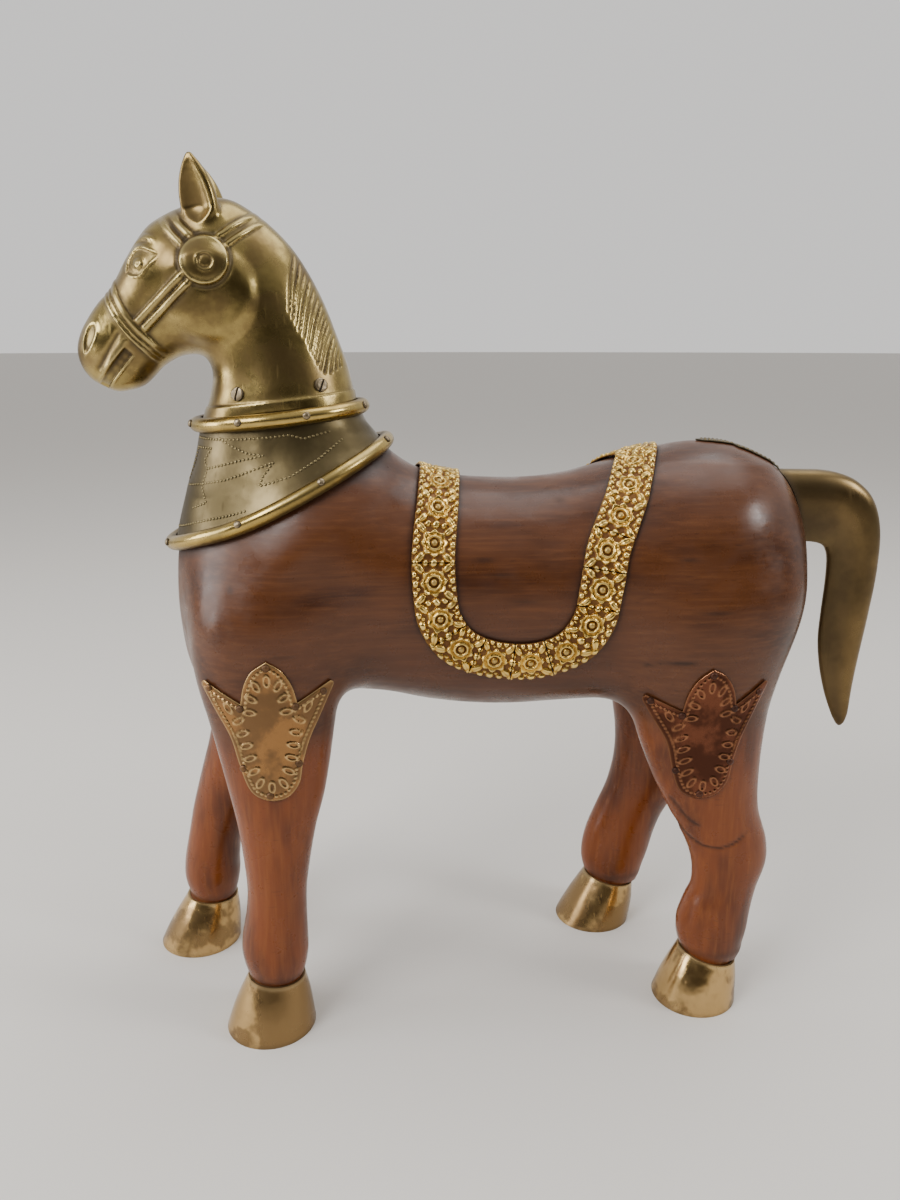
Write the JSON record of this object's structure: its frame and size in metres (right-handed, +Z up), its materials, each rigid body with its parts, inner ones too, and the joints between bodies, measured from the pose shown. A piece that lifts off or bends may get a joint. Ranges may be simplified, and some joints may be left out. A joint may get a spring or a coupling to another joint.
{
  "type": "ornamental horse",
  "caption": "Standing ornamental horse carved in wood, with brass head, collar, saddle strap, leg plates, hooves and tail.",
  "frame": {"origin": "on the floor, at the middle of the horse's length and width", "axes": "+Z up; the nose points to -X; the horse's left side faces -Y"},
  "size_m": [0.4221, 0.1316, 0.4428],
  "materials": {
    "wood": "polished red-brown wood",
    "cast_brass": "satin brass with dark patina in the hollows",
    "sheet_brass": "dull sheet brass with scratches",
    "stamped_brass": "bright stamped brass with dark recesses",
    "iron": "dull dark metal"
  },
  "bodies": {
    "root": {"wood_body": "wood", "brass_head": "cast_brass", "collar_plate": "sheet_brass", "upper_bar": "cast_brass", "lower_bar": "cast_brass", "upper_bar_nail_1": "iron", "upper_bar_nail_2": "iron", "upper_bar_nail_3": "iron", "upper_bar_nail_4": "iron", "upper_bar_nail_5": "iron", "upper_bar_nail_6": "iron", "lower_bar_nail_1": "iron", "lower_bar_nail_2": "iron", "lower_bar_nail_3": "iron", "lower_bar_nail_4": "iron", "lower_bar_nail_5": "iron", "lower_bar_nail_6": "iron", "neck_screw_left_front": "iron", "neck_screw_left_rear": "iron", "neck_screw_right_front": "iron", "neck_screw_right_rear": "iron", "strap_front_top": "stamped_brass", "strap_rear_top": "stamped_brass", "strap_left_1": "stamped_brass", "strap_left_2": "stamped_brass", "strap_left_3": "stamped_brass", "strap_left_4": "stamped_brass", "strap_left_5": "stamped_brass", "strap_left_6": "stamped_brass", "strap_left_7": "stamped_brass", "strap_right_1": "stamped_brass", "strap_right_2": "stamped_brass", "strap_right_3": "stamped_brass", "strap_right_4": "stamped_brass", "strap_right_5": "stamped_brass", "strap_right_6": "stamped_brass", "strap_right_7": "stamped_brass", "leg_plate_left_front": "sheet_brass", "leg_plate_right_front": "sheet_brass", "leg_plate_left_hind": "sheet_brass", "leg_plate_right_hind": "sheet_brass", "croup_plate": "sheet_brass", "hoof_left_front": "sheet_brass", "hoof_right_front": "sheet_brass", "hoof_left_hind": "sheet_brass", "hoof_right_hind": "sheet_brass", "brass_tail": "cast_brass"}
  },
  "joints": []
}
